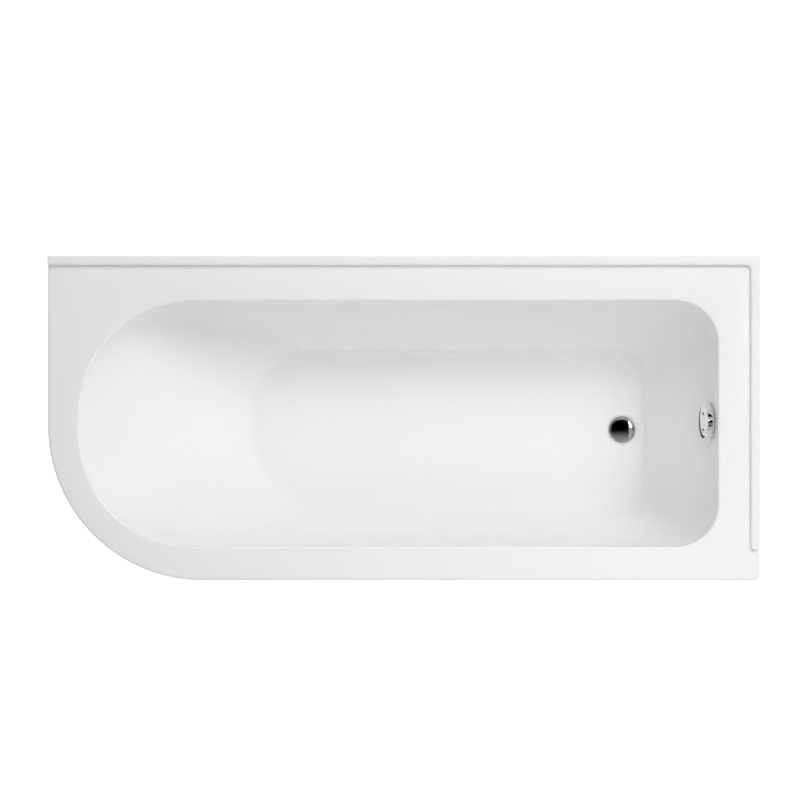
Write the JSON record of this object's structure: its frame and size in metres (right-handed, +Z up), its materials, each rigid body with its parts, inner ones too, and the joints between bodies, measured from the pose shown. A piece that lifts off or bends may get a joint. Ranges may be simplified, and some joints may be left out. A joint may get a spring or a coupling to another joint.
{
  "type": "shower bath",
  "caption": "Acrylic shower bath for a wall corner, with a round backrest end, a curved outer corner, a tiling upstand, a curved panel, adjustable feet and a turn-to-open waste.",
  "frame": {"origin": "on the floor, below the middle of the bath", "axes": "+X towards the tap end, +Y towards the long wall, +Z up"},
  "size_m": [1.7, 0.775, 0.5741],
  "materials": {
    "acrylic": "high gloss white",
    "panel": "high gloss white",
    "glassfibre": "rough chopped strand",
    "board": "chipboard",
    "timber": "planed",
    "zinc_steel": "zinc plated",
    "chrome": "polished chrome",
    "rubber": "matt",
    "white_plastic": "moulded",
    "grey_plastic": "moulded"
  },
  "bodies": {
    "bath": {"bath_shell": "acrylic", "glassfibre_backing": "glassfibre", "wall_upstand": "acrylic", "base_board": "board", "rim_batten_back": "timber", "rim_batten_front": "timber", "rim_batten_corner": "timber", "rim_batten_head": "timber", "rim_batten_tap": "timber", "front_panel": "panel", "panel_foot_batten": "timber", "panel_clips": "white_plastic", "panel_clip_screws": "zinc_steel", "panel_screws": "chrome", "panel_brackets": "zinc_steel", "bracket_bolts": "zinc_steel", "leg_channel_head": "zinc_steel", "leg_channel_tap": "zinc_steel", "leg_screws": "zinc_steel", "foot_nuts": "zinc_steel", "foot_lock_nuts": "zinc_steel", "wall_brackets": "zinc_steel", "wall_bracket_screws": "zinc_steel", "waste_flange": "chrome", "waste_top_seal": "rubber", "waste_bottom_seal": "rubber", "waste_body": "white_plastic", "lever_pin": "zinc_steel", "overflow_gasket": "rubber", "overflow_body": "white_plastic", "overflow_bridge": "grey_plastic", "overflow_faceplate": "chrome", "faceplate_screws": "zinc_steel", "overflow_hose": "grey_plastic", "hose_nut_top": "white_plastic", "hose_nut_bottom": "white_plastic", "lift_cable": "rubber", "cable_ferrule_top": "zinc_steel", "cable_ferrule_bottom": "zinc_steel"},
    "plug": {"waste_plug": "chrome", "plug_seal": "rubber", "plug_stem": "zinc_steel"},
    "lever": {"lift_lever": "grey_plastic"},
    "knob": {"overflow_knob": "chrome", "overflow_spindle": "zinc_steel"},
    "foot_head_back": {"foot_stud_head_back": "zinc_steel", "foot_pad_head_back": "rubber"},
    "foot_head_front": {"foot_stud_head_front": "zinc_steel", "foot_pad_head_front": "rubber"},
    "foot_tap_back": {"foot_stud_tap_back": "zinc_steel", "foot_pad_tap_back": "rubber"},
    "foot_tap_front": {"foot_stud_tap_front": "zinc_steel", "foot_pad_tap_front": "rubber"}
  },
  "joints": [
    {"name": "knob_turn", "type": "hinge", "parent": "bath", "child": "knob", "pos_m": [0.74742, -0.01, 0.475], "axis": [-0.996, 0, 0.0888], "range_deg": [0, 90]},
    {"name": "plug_lift", "type": "slide", "parent": "bath", "child": "plug", "axis": [0, 0, 1], "range_m": [0, 0.01]},
    {"name": "lever_swing", "type": "hinge", "parent": "bath", "child": "lever", "pos_m": [0.5695, -0.01564, 0.1155], "axis": [-1, 0, 0], "range_deg": [0, 30]},
    {"name": "foot_screw_head_back", "type": "slide", "parent": "bath", "child": "foot_head_back", "axis": [0, 0, 1], "range_m": [-0.015, 0.01]},
    {"name": "foot_screw_head_front", "type": "slide", "parent": "bath", "child": "foot_head_front", "axis": [0, 0, 1], "range_m": [-0.015, 0.01]},
    {"name": "foot_screw_tap_back", "type": "slide", "parent": "bath", "child": "foot_tap_back", "axis": [0, 0, 1], "range_m": [-0.015, 0.01]},
    {"name": "foot_screw_tap_front", "type": "slide", "parent": "bath", "child": "foot_tap_front", "axis": [0, 0, 1], "range_m": [-0.015, 0.01]}
  ],
  "couplings": [
    {"joint": "plug_lift", "follows": "knob_turn", "m_per_rad": 0.006366},
    {"joint": "lever_swing", "follows": "knob_turn", "ratio": 0.33333}
  ]
}
